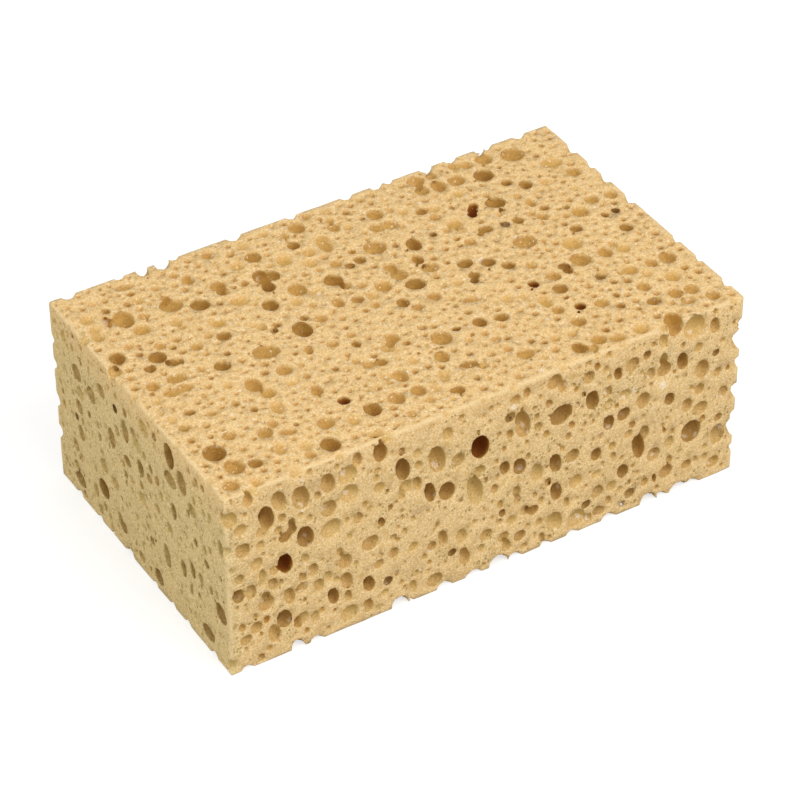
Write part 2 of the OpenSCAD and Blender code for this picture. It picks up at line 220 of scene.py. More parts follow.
            (108, 71.5, 5.7, 5.7), (119, 69.5, 6, 5), (154.5, 65, 8, 7), (35, 119, 4, 6),
            (42.5, 119, 5, 6), (148.5, 120, 4, 5), (171, 120, 3.5, 5),
        ),
        Bowl.SHALLOW: (
            (28, 13, 4.5, 5.7), (37.5, 31.5, 4.5, 6.4), (5.5, 43.5, 3, 4), (6, 54.5, 3.5, 3.5),
            (84, 39.5, 5, 4.5), (48, 40, 5, 3), (75.5, 27, 4, 4), (55, 13, 4.8, 5),
            (57.5, 3.5, 5.7, 3.8), (86, 13, 4, 3.5), (87.5, 29, 3.8, 3.8), (13.5, 3, 3.8, 4.5),
            (109, 29, 2.9, 3.8), (125, 8, 2.9, 2.9), (142, 33, 4.5, 6.4), (168, 55.5, 7.3, 6.7),
            (180, 28, 4, 4), (167, 36, 4, 4), (122.5, 57.5, 3.8, 3.8), (132, 41, 4.5, 4.5),
            (137.5, 39.5, 3.5, 3.5), (6.5, 104.5, 4.8, 4.8), (5.5, 94.5, 4.5, 5.7), (55, 87, 7.3, 5),
            (79.5, 78, 6, 3.8), (41.5, 81.5, 3.2, 4.5), (52.5, 73, 3.2, 3.2), (94.5, 66.5, 5, 4.5),
            (12, 111.5, 3.8, 3.2), (64, 104.5, 5, 5), (79, 99, 5.7, 5.7), (88.5, 98.5, 5, 5),
            (95.5, 100, 5, 10), (86, 93, 5, 5), (138.5, 97.5, 4, 4), (189, 99.5, 8, 6),
            (180.5, 90.5, 4.5, 4.5), (140, 82.5, 3.8, 3.8),
        ),
    },
    Side.LEFT: {
        Bowl.DEEP: (
            (83.5, 67, 6, 9), (33, 17, 7, 7),
        ),
        Bowl.DARK: (
            (114.5, 23, 6.5, 7), (14.5, 7.5, 7, 5.4), (105, 7.5, 7.6, 5.4),
            (71, 5.5, 5.4, 6), (62, 46.5, 4.2, 6), (52.5, 43, 4.6, 3.8), (89.5, 23.5, 3.5, 6),
            (96, 27.5, 3, 6), (84.5, 44.5, 3.4, 6), (67.5, 19, 3, 3),
        ),
        Bowl.MIDDLING: (
            (115.8, 52, 3.2, 6), (41.5, 45, 4.6, 7), (46, 51.5, 3.5, 3.5), (52, 55, 4.6, 8.4), (58, 58.5, 4, 4),
            (28, 54, 5.4, 6), (17.5, 56.5, 6, 6), (18, 42, 4.6, 5.4), (18, 30.5, 4.2, 6),
            (13, 22, 3.8, 4.6), (101.5, 28, 3.4, 4.6), (78, 20, 4.6, 9), (83, 57, 7.6, 5.4),
            (91, 61, 6, 8.4), (97.5, 54.5, 4.6, 4.6), (68, 46.5, 3.4, 3.4), (26.5, 11.5, 3.4, 5.4),
            (12.5, 12.5, 3.5, 3.5), (44, 11.5, 3.4, 4.6), (29, 4.5, 3.5, 3.5), (59, 5.5, 4, 4),
        ),
        Bowl.SHALLOW: (),
    },
}


@dataclass(frozen=True)
class SeenPore:
    """One pore that the photograph shows.

    Args:
        side: Side of the block that it opens on.
        reading: Its place along and up the side, its width and its height, in millimetres.
        bowl: How far it goes in.
    """

    side: Side
    reading: Reading
    bowl: Bowl

    WINDOWED = (Bowl.DEEP, Bowl.DARK)
    WINDOW_SIZE = 0.62
    WINDOW_PUSH = 0.30
    WINDOW_WALL = 1.25
    OPENING = 1.07
    PLUG_MARGIN = 1.04

    def bubbles(self, low: Vector, high: Vector) -> list[tuple[Vector, Vector, Vector, float]]:
        """Bubbles that make the pore: the one that opens it, and one behind it where it is dark.

        Args:
            low: Lowest corner of the block.
            high: Highest corner of the block.

        Returns:
            Middle and half sizes of each bubble, half sizes of the plug that first fills the solid's own
            round pore there, in metres, and how much painted shade it gets inside.
        """
        along, up, width, height = (value * MM for value in self.reading)
        across, upright, out = self.side.axes()
        spread = self.OPENING / math.sqrt(1 - self.bowl.sink**2)
        depth = self.bowl.depth * math.sqrt(width * height) / 2
        mouth = self.side.start(low, high) + across * along + upright * up
        middle = mouth - out * (depth * self.bowl.sink)
        sizes = [abs(component) for component in across * width / 2 + upright * height / 2]
        inward = Vector([abs(component) for component in out])
        reach = Vector(sizes) * spread + inward * depth
        plug = (Vector((1, 1, 1)) - inward) * (self.PLUG_MARGIN * spread * math.sqrt(width * height) / 2)
        made = [(middle, reach, plug + inward * depth, self.bowl.gloom)]
        if self.bowl in self.WINDOWED:
            push = out * -(depth * 1.05) + (upright * -height - across * width) * self.WINDOW_PUSH / 2
            window, size = middle + push, reach * self.WINDOW_SIZE
            room = size * self.WINDOW_WALL
            if all(low[i] + room[i] < window[i] < high[i] - room[i] for i in range(3)):
                made.append((window, size, Vector(), self.bowl.gloom))
        return made


class NodeSheet:
    """Lays nodes on a node tree and joins them by the names of their sockets."""

    def __init__(self, tree: bpy.types.NodeTree) -> None:
        """Takes the tree to fill."""
        self.tree = tree

    @staticmethod
    def _socket(sockets: list[Socket], name: str) -> Socket:
        """First live socket of that name."""
        return next(socket for socket in sockets if socket.name == name and socket.enabled)

    def join(self, source: object, target: Socket) -> None:
        """Feeds a socket from another one, or sets it to a plain value.

        Args:
            source: A socket, or the value to set.
            target: The socket to feed.
        """
        if isinstance(source, Socket):
            self.tree.links.new(source, target)
        else:
            target.default_value = source

    def add(self, kind: str, settings: dict[str, object] | None = None, **feeds: object) -> Node:
        """Adds one node.

        Args:
            kind: Blender's name for the kind of node.
            settings: Properties of the node, set before its sockets are read.
            **feeds: What feeds each input, by the input's name with underscores for spaces.

        Returns:
            The new node.
        """
        node = self.tree.nodes.new(kind)
        for name, value in (settings or {}).items():
            setattr(node, name, value)
        for name, source in feeds.items():
            self.join(source, self._socket(node.inputs, name.replace("_", " ")))
        return node

    def get(self, kind: str, output: str, settings: dict[str, object] | None = None, **feeds: object) -> Socket:
        """Adds one node and gives one of its outputs.

        Args:
            kind: Blender's name for the kind of node.
            output: Name of the output that is wanted.
            settings: Properties of the node.
            **feeds: What feeds each input.

        Returns:
            The output socket.
        """
        return self._socket(self.add(kind, settings, **feeds).outputs, output)

    def _operate(self, kind: str, operation: str, values: tuple[object, ...]) -> Node:
        """Adds a math or vector math node and feeds its inputs in order."""
        node = self.tree.nodes.new(kind)
        node.operation = operation
        for source, target in zip(values, node.inputs):
            self.join(source, target)
        return node

    def math(self, operation: str, *values: object, clamp: bool = False) -> Socket:
        """Result of a sum on plain numbers.

        Args:
            operation: Blender's name for the sum.
            *values: Sockets or numbers that it works on.
            clamp: Keeps the result between 0 and 1.

        Returns:
            The output socket.
        """
        node = self._operate("ShaderNodeMath", operation, values)
        node.use_clamp = clamp
        return node.outputs[0]

    def vector(self, operation: str, *values: object) -> Socket:
        """Vector that comes of a sum on vectors."""
        return self._operate("ShaderNodeVectorMath", operation, values).outputs["Vector"]

    def scaled(self, vector: Socket, factor: object) -> Socket:
        """Vector times a number."""
        return self.get("ShaderNodeVectorMath", "Vector", {"operation": "SCALE"}, Vector=vector, Scale=factor)

    def length(self, operation: str, *values: object) -> Socket:
        """Number that comes of a sum on vectors."""
        return self._operate("ShaderNodeVectorMath", operation, values).outputs["Value"]


def make_tree(
    name: str, kind: str, inputs: dict[str, str], outputs: dict[str, str]
) -> tuple[NodeSheet, dict[str, Socket], Node]:
    """Makes a node tree with named inputs and outputs.

    Args:
        name: Name of the tree.
        kind: Blender's name for the kind of tree.
        inputs: Kind of each input, by name.
        outputs: Kind of each output, by name.

    Returns:
        The sheet to lay nodes on, the inputs by name, and the node that the outputs are fed at.
    """
    tree = bpy.data.node_groups.new(name, kind)
    for direction, sockets in (("INPUT", inputs), ("OUTPUT", outputs)):
        for socket_name, socket_kind in sockets.items():
            tree.interface.new_socket(socket_name, in_out=direction, socket_type=socket_kind)
    entry = tree.nodes.new("NodeGroupInput")
    leave = tree.nodes.new("NodeGroupOutput")
    return NodeSheet(tree), {socket_name: entry.outputs[socket_name] for socket_name in inputs}, leave


GEOMETRY = "NodeSocketGeometry"
FLOAT = "NodeSocketFloat"
VECTOR = "NodeSocketVector"
COLOUR = "NodeSocketColor"
WHOLE = "NodeSocketInt"
YES_NO = "NodeSocketBool"
MATERIAL = "NodeSocketMaterial"
OBJECT = "NodeSocketObject"


def scatter_tree() -> bpy.types.NodeTree:
    """Tree that scatters one size of chance bubble over the block, clear of those already placed.

    Returns:
        The tree. Its result is the placed bubbles with the new ones added, as points with half sizes.
    """
    sheet, given, leave = make_tree(
        "chance_bubbles",
        "GeometryNodeTree",
        {
            "Placed": GEOMETRY, "Block": GEOMETRY, "Block Size": VECTOR, "Block Middle": VECTOR,
            "Walls": GEOMETRY, "Spacing": FLOAT, "Smallest": FLOAT, "Largest": FLOAT, "Least Sink": FLOAT, 
            "Most Sink": FLOAT, "Stretch": FLOAT, "Lean": VECTOR, "Clearance": FLOAT, "Margin": FLOAT,
            "Unseen Sides Only": YES_NO, "Upright Share": FLOAT, "Seed": WHOLE,
        },
        {"Placed": GEOMETRY},
    )
    scatter = sheet.add(
        "GeometryNodeDistributePointsOnFaces", {"distribute_method": "POISSON"},
        Mesh=given["Block"], Distance_Min=given["Spacing"], Density_Max=1.0e7, Seed=given["Seed"],
    )
    normal = scatter.outputs["Normal"]
    random = {"data_type": "FLOAT"}
    chance = sheet.get("FunctionNodeRandomValue", "Value", random, Min=0.0, Max=1.0, Seed=given["Seed"])
    skewed = sheet.math("MULTIPLY", chance, chance)
    span = sheet.math("SUBTRACT", given["Largest"], given["Smallest"])
    radius = sheet.math("MULTIPLY_ADD", skewed, span, given["Smallest"])
    reach = sheet.get("ShaderNodeCombineXYZ", "Vector", X=radius, Y=radius, Z=sheet.math("MULTIPLY", radius, given["Stretch"]))
    stored = sheet.get(
        "GeometryNodeStoreNamedAttribute", "Geometry", {"data_type": "FLOAT_VECTOR", "domain": "POINT"},
        Geometry=scatter.outputs["Points"], Name=REACH, Value=reach,
    )
    # Random painted shade inside each chance pore.
    dark = sheet.get(
        "FunctionNodeRandomValue", "Value", random, Min=0.0, Max=0.8, Seed=sheet.math("ADD", given["Seed"], 3)
    )
    stored = sheet.get(
        "GeometryNodeStoreNamedAttribute", "Geometry", {"data_type": "FLOAT", "domain": "POINT"},
        Geometry=stored, Name=GLOOM, Value=sheet.math("MULTIPLY", dark, dark),
    )
    kept_reach = sheet.get("GeometryNodeInputNamedAttribute", "Attribute", {"data_type": "FLOAT_VECTOR"}, Name=REACH)
    kept_radius = sheet.get("ShaderNodeSeparateXYZ", "X", Vector=kept_reach)
    ball = sheet.get("GeometryNodeMeshIcoSphere", "Mesh", Radius=1.0, Subdivisions=2)
    placed_balls = sheet.get(
        "GeometryNodeInstanceOnPoints", "Instances",
        Points=given["Placed"], Instance=ball, Rotation=given["Lean"], Scale=kept_reach,
    )
    before = sheet.add("GeometryNodeJoinGeometry")
    sheet.join(given["Walls"], before.inputs["Geometry"])
    sheet.join(sheet.get("GeometryNodeRealizeInstances", "Geometry", Geometry=placed_balls), before.inputs["Geometry"])
    sink = sheet.get(
        "FunctionNodeRandomValue", "Value", random,
        Min=given["Least Sink"], Max=given["Most Sink"], Seed=sheet.math("ADD", given["Seed"], 1),
    )
    depth = sheet.math("MULTIPLY", sheet.math("MULTIPLY", sink, kept_radius), -1.0)
    sunk = sheet.get("GeometryNodeSetPosition", "Geometry", Geometry=stored, Offset=sheet.scaled(normal, depth))
    to_wall = sheet.get(
        "GeometryNodeProximity", "Distance", {"target_element": "FACES"}, Geometry=before.outputs["Geometry"]
    )
    needed = sheet.math("MULTIPLY_ADD", kept_radius, given["Clearance"], given["Margin"])
    at_wall = sheet.math("LESS_THAN", to_wall, needed)
    off_middle = sheet.vector(
        "ABSOLUTE", sheet.vector("SUBTRACT", sheet.get("GeometryNodeInputPosition", "Position"), given["Block Middle"])
    )
    parts = sheet.add("ShaderNodeSeparateXYZ", Vector=sheet.vector("SUBTRACT", sheet.scaled(given["Block Size"], 0.5), off_middle))
    x_gap, y_gap, z_gap = parts.outputs["X"], parts.outputs["Y"], parts.outputs["Z"]
    least = sheet.math("MINIMUM", sheet.math("MINIMUM", x_gap, y_gap), z_gap)
    most = sheet.math("MAXIMUM", sheet.math("MAXIMUM", x_gap, y_gap), z_gap)
    total = sheet.math("ADD", sheet.math("ADD", x_gap, y_gap), z_gap)
    second = sheet.math("SUBTRACT", sheet.math("SUBTRACT", total, least), most)
    at_edge = sheet.math("LESS_THAN", second, needed)
    toward_seen = sheet.length("DOT_PRODUCT", normal, (-1.0, -1.0, 1.0))
    on_seen = sheet.math("GREATER_THAN", toward_seen, 0.5)
    barred = sheet.math("MULTIPLY", on_seen, given["Unseen Sides Only"])
    upright = sheet.math("LESS_THAN", sheet.get("ShaderNodeSeparateXYZ", "Z", Vector=normal), 0.5)
    spared = sheet.get(
        "FunctionNodeRandomValue", "Value", random, Min=0.0, Max=1.0, Seed=sheet.math("ADD", given["Seed"], 2)
    )
    left_out = sheet.math("MULTIPLY", upright, sheet.math("GREATER_THAN", spared, given["Upright Share"]))
    barred = sheet.math("MAXIMUM", barred, left_out)
    cleared = sheet.get(
        "GeometryNodeDeleteGeometry", "Geometry", {"domain": "POINT"},
        Geometry=sunk, Selection=sheet.math("MAXIMUM", at_wall, sheet.math("MAXIMUM", at_edge, barred)),
    )
    joined = sheet.add("GeometryNodeJoinGeometry")
    sheet.join(given["Placed"], joined.inputs["Geometry"])
    sheet.join(cleared, joined.inputs["Geometry"])
    sheet.join(joined.outputs["Geometry"], leave.inputs["Placed"])
    return sheet.tree


@dataclass(frozen=True)
class ChanceBubbles:
    """One size of chance bubble, in metres and as shares of its radius.

    Args:
        spacing: Least distance between two of them.
        smallest: Least radius.
        largest: Greatest radius.
        clearance: How far it stays from the bubbles placed before it, as a share of touching.
        unseen_only: Keeps it off the sides that the photograph shows.
        seed: Seed of its chance.
        upright_share: Share of the places that it keeps on the upright sides.
        least_sink: Least depth of its middle under the face, as a share of its radius.
        most_sink: Greatest depth of its middle under the face, as a share of its radius.
    """

    spacing: float
    smallest: float
    largest: float
    clearance: float
    unseen_only: bool
    seed: int
    upright_share: float = 1.0
    least_sink: float = 0.05
    most_sink: float = 0.70


@dataclass(frozen=True)
class FoamFinish:
    """Dry open-celled foam: a mottled tan cut skin with painted pinhole shade, browner painted shade in the pores,
    painted glints and a painted edge highlight.
    """

    # Dark grain of the skin, and painted shade in the fine cells' pits.
    grain_and_pit_shade: tuple[float, float, float, float] = (0.770, 0.490, 0.195, 1.0)
    skin: tuple[float, float, float, float] = (0.880, 0.585, 0.262, 1.0)
    pale: tuple[float, float, float, float] = (0.990, 0.745, 0.415, 1.0)
    # Stain in patches and on the sides, and painted shade over the left end.
    stain_and_end_shade: tuple[float, float, float, float] = (0.690, 0.520, 0.230, 1.0)
    # Painted shade of the pinholes.
    pinhole_shade: tuple[float, float, float, float] = (0.670, 0.425, 0.155, 1.0)
    # Painted shade in the pores.
    pore_shade: tuple[float, float, float, float] = (0.720, 0.450, 0.130, 1.0)
    # Painted shade in the pores where the foam is greener.
    olive: tuple[float, float, float, float] = (0.590, 0.440, 0.160, 1.0)
    # Painted shade under the pores' roofs and in the left end's slits, and blotches in the pores.
    shadow_and_blotch: tuple[float, float, float, float] = (0.430, 0.295, 0.100, 1.0)
    # Painted shade deeper in the pores, and in the darkest of them.
    deep_pore_shade: tuple[float, float, float, float] = (0.540, 0.280, 0.043, 1.0)
    pore_heart_shade: tuple[float, float, float, float] = (0.400, 0.135, 0.024, 1.0)
    # Dark specks of the sides; on the top the specks are painted glints.
    speck_and_glint: tuple[float, float, float, float] = (0.390, 0.260, 0.085, 1.0)
    # Painted glints.
    painted_glint: tuple[float, float, float, float] = (1.000, 0.850, 0.650, 1.0)
    roughness: float = 0.80
    sheen_of_skin: float = 0.10
    pinhole_shade_size: float = 3.0 * MM
    pinhole_shade_share: float = 0.60
    cell_size: float = 1.4 * MM
    cell_share: float = 0.50
    grain_size: float = 0.65 * MM
    patch_size: float = 9.0 * MM
    green_of_sides: float = 0.30
    wobble: float = 1.2 * MM
    wobble_size: float = 2.0 * MM
    speck_and_glint_size: float = 1.15 * MM
    painted_glint_size: float = 4.0 * MM
    painted_glint_share: float = 0.12
    edge_width: float = 1.8 * MM
    pore_shade_from: float = 0.18 * MM
    pore_shade_to: float = 0.75 * MM
    pore_shade_to_on_top: float = 1.90 * MM
    deep_from: float = 3.5 * MM
    deep_to: float = 9.0 * MM
    heart_from: float = 0.6 * MM
    heart_to: float = 2.6 * MM
    olive_from: float = 2.0 * MM
    olive_to: float = 15.0 * MM
    end_from: float = 9.0 * MM
    end_to: float = 1.0 * MM
    bump_depth: float = 0.50 * MM

    @staticmethod
    def depth_group() -> bpy.types.NodeTree:
        """Shader group that says how far a point lies under the nearest face of the block.

        Returns:
            The group. Its depth is in metres, and less than nothing outside the block. It also says whether
            that face is one of the upright ones, and how far the next nearest face is.
        """
        sheet, given, leave = make_tree(
            "depth_under_face",
            "ShaderNodeTree",
            {"Place": VECTOR, "Low Corner": VECTOR, "High Corner": VECTOR},
            {"Depth": FLOAT, "Upright": FLOAT, "To Edge": FLOAT},
        )
        below = sheet.vector("SUBTRACT", given["Place"], given["Low Corner"])
        above = sheet.vector("SUBTRACT", given["High Corner"], given["Place"])
        parts = sheet.add("ShaderNodeSeparateXYZ", Vector=sheet.vector("MINIMUM", below, above))
        x_gap, y_gap, z_gap = (parts.outputs[axis] for axis in "XYZ")
        sideways = sheet.math("MINIMUM", x_gap, y_gap)
        sheet.join(sheet.math("MINIMUM", sideways, z_gap), leave.inputs["Depth"])
        sheet.join(sheet.math("LESS_THAN", sideways, z_gap), leave.inputs["Upright"])
        other = sheet.math("MINIMUM", sheet.math("MAXIMUM", x_gap, y_gap), sheet.math("MAXIMUM", sideways, z_gap))
        sheet.join(other, leave.inputs["To Edge"])
        return sheet.tree

    @staticmethod
    def dots_group() -> bpy.types.NodeTree:
        """Shader group that draws round dots of one size, each taller than it is wide: painted pinhole shade, darker
        cell pits, specks and painted glints.

        Returns:
            The group. Its mask is 1 in the middle of a dot and 0 outside, and the share says how many of the
            cells hold a dot.
        """
        sheet, given, leave = make_tree(
            "round_dots",
            "ShaderNodeTree",
            {"Place": VECTOR, "Size": FLOAT, "Share": FLOAT, "Widest": FLOAT},
            {"Mask": FLOAT},
        )
        dots = sheet.add(
            "ShaderNodeTexVoronoi", {"feature": "F1"},
            Vector=sheet.vector("MULTIPLY", given["Place"], (1.0, 1.0, 0.75)),
            Scale=sheet.math("DIVIDE", 1.0, given["Size"]),
        )
        chances = sheet.add("ShaderNodeSeparateColor", Color=dots.outputs["Color"])
        reach = sheet.math("MULTIPLY", given["Widest"], sheet.math("MULTIPLY_ADD", chances.outputs["Green"], 0.6, 0.4))
        inside = sheet.get(
            "ShaderNodeMapRange", "Result", {"interpolation_type": "SMOOTHSTEP"},
            Value=sheet.math("DIVIDE", dots.outputs["Distance"], reach), From_Min=1.0, From_Max=0.40,
        )
        kept = sheet.math("LESS_THAN", chances.outputs["Red"], given["Share"])
        sheet.join(sheet.math("MULTIPLY", inside, kept), leave.inputs["Mask"])
        return sheet.tree

    def build(self, low: Vector, high: Vector) -> bpy.types.Material:
        """Makes the material.

        Args:
            low: Lowest corner of the block.
            high: Highest corner of the block.

        Returns:
            The foam's material.
        """
        material = bpy.data.materials.new("foam")
        material.use_nodes = True
        material.node_tree.nodes.clear()
        sheet = NodeSheet(material.node_tree)
        place = sheet.get("ShaderNodeTexCoord", "Object")
        facing = sheet.get("ShaderNodeSeparateXYZ", "Z", Vector=sheet.get("ShaderNodeTexCoord", "Normal"))
        under = sheet.add(
            "ShaderNodeGroup", {"node_tree": self.depth_group()},
            Place=place, Low_Corner=low, High_Corner=high,
        )
        depth = under.outputs["Depth"]
        upright = under.outputs["Upright"]
        # Painted light on the floors of the pores in the upright sides, where the surface faces up: lighter pore shade
        # and more painted glints there.
        ledge = sheet.math("MULTIPLY", self.ramp(sheet, facing, 0.02, 0.52), upright)
        # Painted shade under the roofs of the pores in the upright sides, where the surface faces down.
        shaded = sheet.math("MULTIPLY", self.ramp(sheet, facing, 0.50, -0.12), upright)
        dots = self.dots_group()
        wobble = sheet.get("ShaderNodeTexNoise", "Color", Vector=place, Scale=1 / self.wobble_size, Detail=1.0)
        wobble = sheet.scaled(sheet.vector("SUBTRACT", wobble, (0.5, 0.5, 0.5)), self.wobble)
        bent = sheet.vector("ADD", place, wobble)
        mottle = self.noise(sheet, place, self.grain_size, 2.0, 0.60)
        patches = self.noise(sheet, place, self.patch_size, 2.0, 0.6)
        along = sheet.add("ShaderNodeSeparateXYZ", Vector=place)
        low_down = self.ramp(sheet, sheet.math("SUBTRACT", high.z, along.outputs["Z"]), self.olive_from, self.olive_to)
        at_end = self.ramp(sheet, sheet.math("SUBTRACT", along.outputs["X"], low.x), self.end_from, self.end_to)
        # Greener and darker: the foam's own stain in patches and on the sides below the top, and painted shade over
        # the whole left end.
        patchy = sheet.math("MULTIPLY", self.ramp(sheet, patches, 0.42, 0.62), 0.55)
        patchy = sheet.math("MAXIMUM", patchy, self.green_of_sides)
        stain_and_end_shade_share = sheet.math("MULTIPLY", sheet.math("MAXIMUM", patchy, at_end), low_down)
        inside = sheet.get(
            "ShaderNodeMix", "Result", {"data_type": "FLOAT"}, Factor=upright,
            A=self.ramp(sheet, depth, self.pore_shade_from, self.pore_shade_to_on_top),
            B=self.ramp(sheet, depth, self.pore_shade_from, self.pore_shade_to),
        )
        on_skin = sheet.math("SUBTRACT", 1.0, inside)
        # Painted pinhole shade: dark round dots on the cut skin, with no dent under them.
        pinhole_shade_mask = self.dots(sheet, dots, bent, self.pinhole_shade_size, self.pinhole_shade_share, 0.48)
        pinhole_shade_mask = sheet.math("MULTIPLY", pinhole_shade_mask, on_skin)
        cells = self.dots(sheet, dots, bent, self.cell_size, self.cell_share, 0.52)
        clusters = self.ramp(sheet, patches, 0.50, 0.60)
        # Specks: dark olive specks on the sides, in clusters, and painted glints on the top.
        speck_and_glint_share = sheet.math("MULTIPLY_ADD", upright, -0.08, 0.11)
        speck_and_glint_share = sheet.math("MULTIPLY_ADD", sheet.math("MULTIPLY", clusters, upright), 0.48, speck_and_glint_share)
        specks_and_glints = self.dots(sheet, dots, bent, self.speck_and_glint_size, speck_and_glint_share, 0.52)
        # Painted glints: pale patches, most on the floors of the sides' pores, few on the skin, none on the left end,
        # fewer in the darkest pores.
        painted_glint_share = sheet.math("MULTIPLY_ADD", ledge, 0.80, self.painted_glint_share)
        painted_glint_share = sheet.math("MULTIPLY_ADD", painted_glint_share, inside, 0.02)
        painted_glint_share = sheet.math("MULTIPLY", painted_glint_share, sheet.math("SUBTRACT", 1.0, at_end))
        painted_glints = self.dots(sheet, dots, bent, self.painted_glint_size, painted_glint_share, 0.45)
        painted_glints = sheet.math("MULTIPLY", painted_glints, self.ramp(sheet, mottle, 0.26, 0.54))
        # Painted highlight: a pale band along every edge of the block.
        painted_edge_highlight = self.ramp(sheet, under.outputs["To Edge"], self.edge_width, 0.0)

        grains = sheet.math("MULTIPLY_ADD", upright, 0.012, mottle)
        colour = self.mixed(sheet, self.ramp(sheet, mottle, 0.36, 0.50), self.grain_and_pit_shade, self.skin)
        # Greener, darker skin: the foam's own stain, and painted shade over the left end.
        colour = self.mixed(sheet, sheet.math("MULTIPLY", stain_and_end_shade_share, 0.70), colour, self.stain_and_end_shade)
        colour = self.mixed(sheet, self.ramp(sheet, grains, 0.50, 0.66), colour, self.pale)
        # Darker floors of the fine round cells: painted shade in the pits.
        colour = self.mixed(sheet, sheet.math("MULTIPLY", cells, 0.60), colour, self.grain_and_pit_shade)
        # On the left end the painted pinhole shade is darker still, as dark slits.
        pinhole_shade = self.mixed(sheet, at_end, self.pinhole_shade, self.shadow_and_blotch)
        colour = self.mixed(sheet, sheet.math("MULTIPLY", pinhole_shade_mask, 0.65), colour, pinhole_shade)
        # Painted shade in the pores: walls under the faces turn darker and browner, darker under the roofs, blotched,
        # with the fine cells lighter, and lighter on the floors of the sides' pores.
        pore_shade = self.mixed(sheet, stain_and_end_shade_share, self.pore_shade, self.olive)
        blotched = sheet.math("MULTIPLY", self.ramp(sheet, mottle, 0.56, 0.42), 0.45)
        dimmed = sheet.math("MAXIMUM", sheet.math("MULTIPLY", shaded, 0.35), blotched)
        pore_shade = self.mixed(sheet, dimmed, pore_shade, self.shadow_and_blotch)
        pore_shade = self.mixed(sheet, sheet.math("MULTIPLY", cells, 0.38), pore_shade, self.skin)
        pore_shade_share = sheet.math("MULTIPLY", inside, sheet.math("MULTIPLY_ADD", ledge, -0.38, 0.92))
        colour = self.mixed(sheet, pore_shade_share, colour, pore_shade)
        # Painted shade deeper in the pores: browner with depth and each pore's gloom, redder in the darkest, less of
        # both on the left end.
        gloom = sheet.get("ShaderNodeAttribute", "Fac", {"attribute_name": GLOOM})
        browner = sheet.math("MULTIPLY", self.ramp(sheet, gloom, 0.05, 0.90), inside)
        browner = sheet.math("MAXIMUM", browner, self.ramp(sheet, depth, self.deep_from, self.deep_to))
        browner = sheet.math("MULTIPLY", browner, sheet.math("MULTIPLY_ADD", at_end, -0.45, 1.0))
        redder = self.ramp(sheet, depth, self.heart_from, self.heart_to)
        redder = sheet.math("MULTIPLY", redder, self.ramp(sheet, gloom, 0.45, 1.0))
        redder = sheet.math("MULTIPLY", redder, sheet.math("MULTIPLY_ADD", at_end, -0.80, 1.0))
        colour = self.mixed(sheet, browner, colour, self.deep_pore_shade)
        colour = self.mixed(sheet, redder, colour, self.pore_heart_shade)
        # Dark specks on the sides, painted glints on the top.
        speck_and_glint = self.mixed(sheet, upright, self.painted_glint, self.speck_and_glint)
        colour = self.mixed(sheet, sheet.math("MULTIPLY", specks_and_glints, 0.85), colour, speck_and_glint)
        colour = self.mixed(sheet, sheet.math("MULTIPLY", painted_edge_highlight, 0.60), colour, self.pale)
        painted_glints = sheet.math("MULTIPLY", painted_glints, sheet.math("MULTIPLY_ADD", redder, -0.80, 0.80))
        colour = self.mixed(sheet, painted_glints, colour, self.painted_glint)

        height = sheet.math("SUBTRACT", sheet.math("MULTIPLY", mottle, 0.80), sheet.math("MULTIPLY", cells, 0.35))
        bump = sheet.get(
            "ShaderNodeBump", "Normal", Strength=0.9, Distance=self.bump_depth, Height=height
        )
        shader = sheet.get(
            "ShaderNodeBsdfPrincipled", "BSDF", Base_Color=colour, Roughness=self.roughness, Normal=bump,
            Specular_IOR_Level=self.sheen_of_skin,
        )
        sheet.add("ShaderNodeOutputMaterial", Surface=shader)
        return material

    @staticmethod
    def noise(sheet: NodeSheet, place: Socket, size: float, detail: float, roughness: float) -> Socket:
        """Smooth noise with lumps of one size, about 0.5 on average."""
        return sheet.get(
            "ShaderNodeTexNoise", "Fac", Vector=place, Scale=1 / size, Detail=detail, Roughness=roughness
        )

    @staticmethod
    def dots(
        sheet: NodeSheet, group: bpy.types.NodeTree, place: Socket, size: float, share: object, widest: float
    ) -> Socket:
        """Mask of round dots of one size.

        Args:
            sheet: Sheet to lay the node on.
            group: The group that draws dots.
            place: Where the point lies.
            size: Distance from one dot to the next.
            share: Share of the places that hold a dot.
            widest: Radius of the largest dot, as a share of the size.

        Returns:
            The mask.
        """
        return sheet.get(
            "ShaderNodeGroup", "Mask", {"node_tree": group}, Place=place, Size=size, Share=share, Widest=widest
        )

    @staticmethod
    def ramp(sheet: NodeSheet, value: Socket, start: float, end: float) -> Socket:
        """Share that goes from 0 to 1 as the value goes from the start to the end."""
        return sheet.get("ShaderNodeMapRange", "Result", Value=value, From_Min=start, From_Max=end)

    @staticmethod
    def mixed(sheet: NodeSheet, share: Socket, first: object, second: object) -> Socket:
        """Colour that goes from the first to the second as the share grows."""
        return sheet.get("ShaderNodeMix", "Result", {"data_type": "RGBA"}, Factor=share, A=first, B=second)


def triangles(mesh: bpy.types.Mesh) -> int:
    """Number of triangles that a mesh's faces make."""
    return sum(len(face.vertices) - 2 for face in mesh.polygons)


